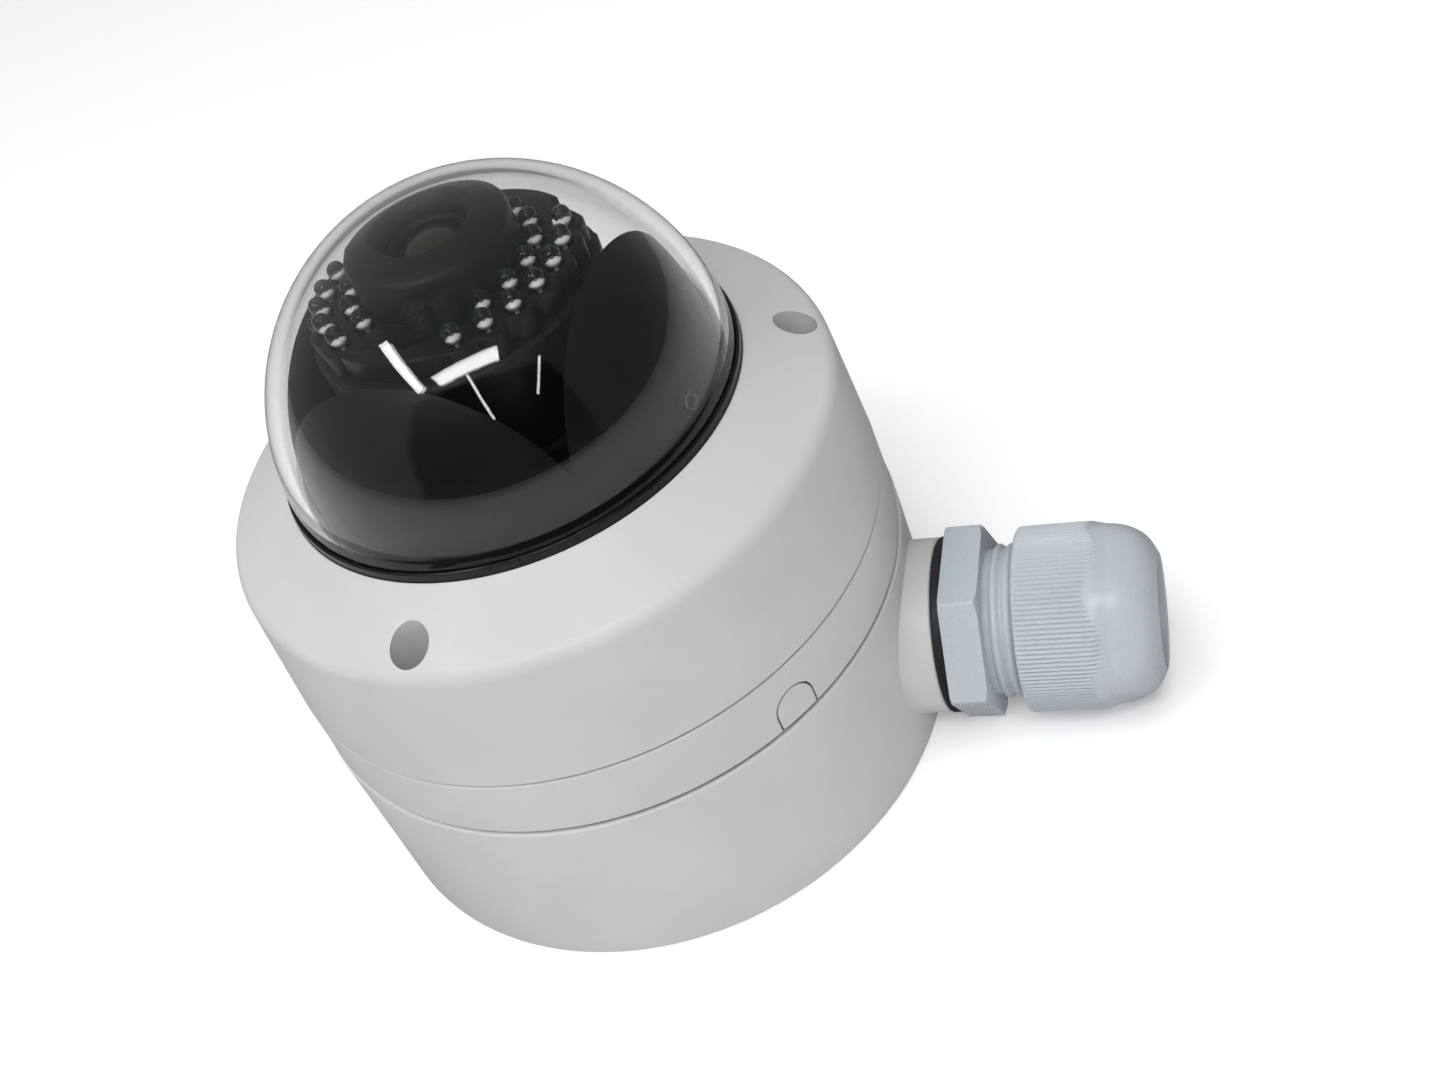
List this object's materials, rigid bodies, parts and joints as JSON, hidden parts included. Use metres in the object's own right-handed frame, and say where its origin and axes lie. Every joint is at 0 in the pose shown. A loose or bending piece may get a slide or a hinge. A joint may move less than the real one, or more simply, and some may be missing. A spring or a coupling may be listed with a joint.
{
  "type": "dome cctv camera",
  "caption": "Dome security camera with a clear hemispherical bubble, ring-lit lens head on a pan and tilt gimbal, round junction box and side cable gland.",
  "frame": {"origin": "centre of the junction box's wall face, which is also the centre of the wall screws' circle", "axes": "+Z out of the wall through the clear dome, +X along the side cable gland"},
  "size_m": [0.1552, 0.1136, 0.1191],
  "materials": {
    "housing_white": "fine powder coat",
    "gland_plastic": "moulded nylon",
    "rubber_black": "matt",
    "rubber_grey": "matt",
    "liner_black": "semi-matt",
    "mechanism_black": "fine texture",
    "clear_dome": "clear polycarbonate",
    "lens": "coated",
    "led_clear": "clear epoxy",
    "steel": "plated",
    "pcb_green": "solder mask",
    "connector_cream": "moulded",
    "card_black": "smooth",
    "button_red": "moulded",
    "nylon": "natural",
    "chip": "smooth"
  },
  "bodies": {
    "housing": {"junction_back": "housing_white", "junction_box": "housing_white", "box_gasket": "rubber_grey", "base_screws": "steel", "gland_washer": "rubber_black", "gland_body": "gland_plastic", "gland_seal": "rubber_grey", "camera_base": "housing_white", "pigtail_grommet": "rubber_black", "cover_gasket": "rubber_black", "main_board": "pcb_green", "board_screws": "steel", "board_connector": "connector_cream", "card_socket": "steel", "reset_switch": "mechanism_black", "pan_base": "mechanism_black", "pan_base_screws": "steel", "friction_washer": "nylon", "pan_lock_ring": "mechanism_black"},
    "cover": {"cover": "housing_white", "cover_screws": "steel", "bubble": "clear_dome", "bubble_gasket": "rubber_black", "bubble_retainer": "mechanism_black", "retainer_screws": "steel"},
    "pan": {"pan_ring": "mechanism_black", "tilt_brackets": "mechanism_black", "bracket_screws": "steel", "liner": "liner_black"},
    "tilt": {"tilt_cradle": "mechanism_black", "pivot_screws": "steel"},
    "head": {"head_shell": "liner_black", "head_clip": "mechanism_black", "sensor_board": "pcb_green", "sensor_chip": "chip", "lens_holder": "mechanism_black", "lens_barrel": "liner_black", "lens_glass": "lens", "led_board": "pcb_green", "leds": "led_clear", "led_plate": "liner_black", "light_sensor": "chip", "lens_hood": "rubber_black"},
    "gland_cap": {"gland_cap": "gland_plastic"},
    "notch_plug": {"notch_plug": "housing_white"},
    "memory_card": {"memory_card": "card_black"},
    "reset_button": {"reset_button": "button_red"}
  },
  "joints": [
    {"name": "pan", "type": "hinge", "parent": "housing", "child": "pan", "pos_m": [0, 0, 0.0798], "axis": [0, 0, 1], "range_deg": [-177.5, 177.5]},
    {"name": "tilt", "type": "hinge", "parent": "pan", "child": "tilt", "pos_m": [0, 0, 0.0798], "axis": [-0.9903, 0.1392, 0], "range_deg": [0, 75]},
    {"name": "head_turn", "type": "hinge", "parent": "tilt", "child": "head", "pos_m": [0, 0, 0.0798], "axis": [0, 0, 1], "range_deg": [-177.5, 177.5]},
    {"name": "cover_lift", "type": "slide", "parent": "housing", "child": "cover", "axis": [0, 0, 1], "range_m": [0, 0.06]},
    {"name": "gland_cap_turn", "type": "hinge", "parent": "housing", "child": "gland_cap", "pos_m": [0.08, 0, 0.0166], "axis": [1, 0, 0], "continuous": true},
    {"name": "notch_plug_pull", "type": "slide", "parent": "housing", "child": "notch_plug", "axis": [0.7804, -0.6252, 0], "range_m": [0, 0.009]},
    {"name": "card_slide", "type": "slide", "parent": "housing", "child": "memory_card", "axis": [-0.5, -0.866, 0], "range_m": [0, 0.008]},
    {"name": "reset_press", "type": "slide", "parent": "housing", "child": "reset_button", "axis": [0, 0, -1], "range_m": [0, 0.0003], "stiffness_N_per_m": 400, "springref_m": -0.0005}
  ]
}
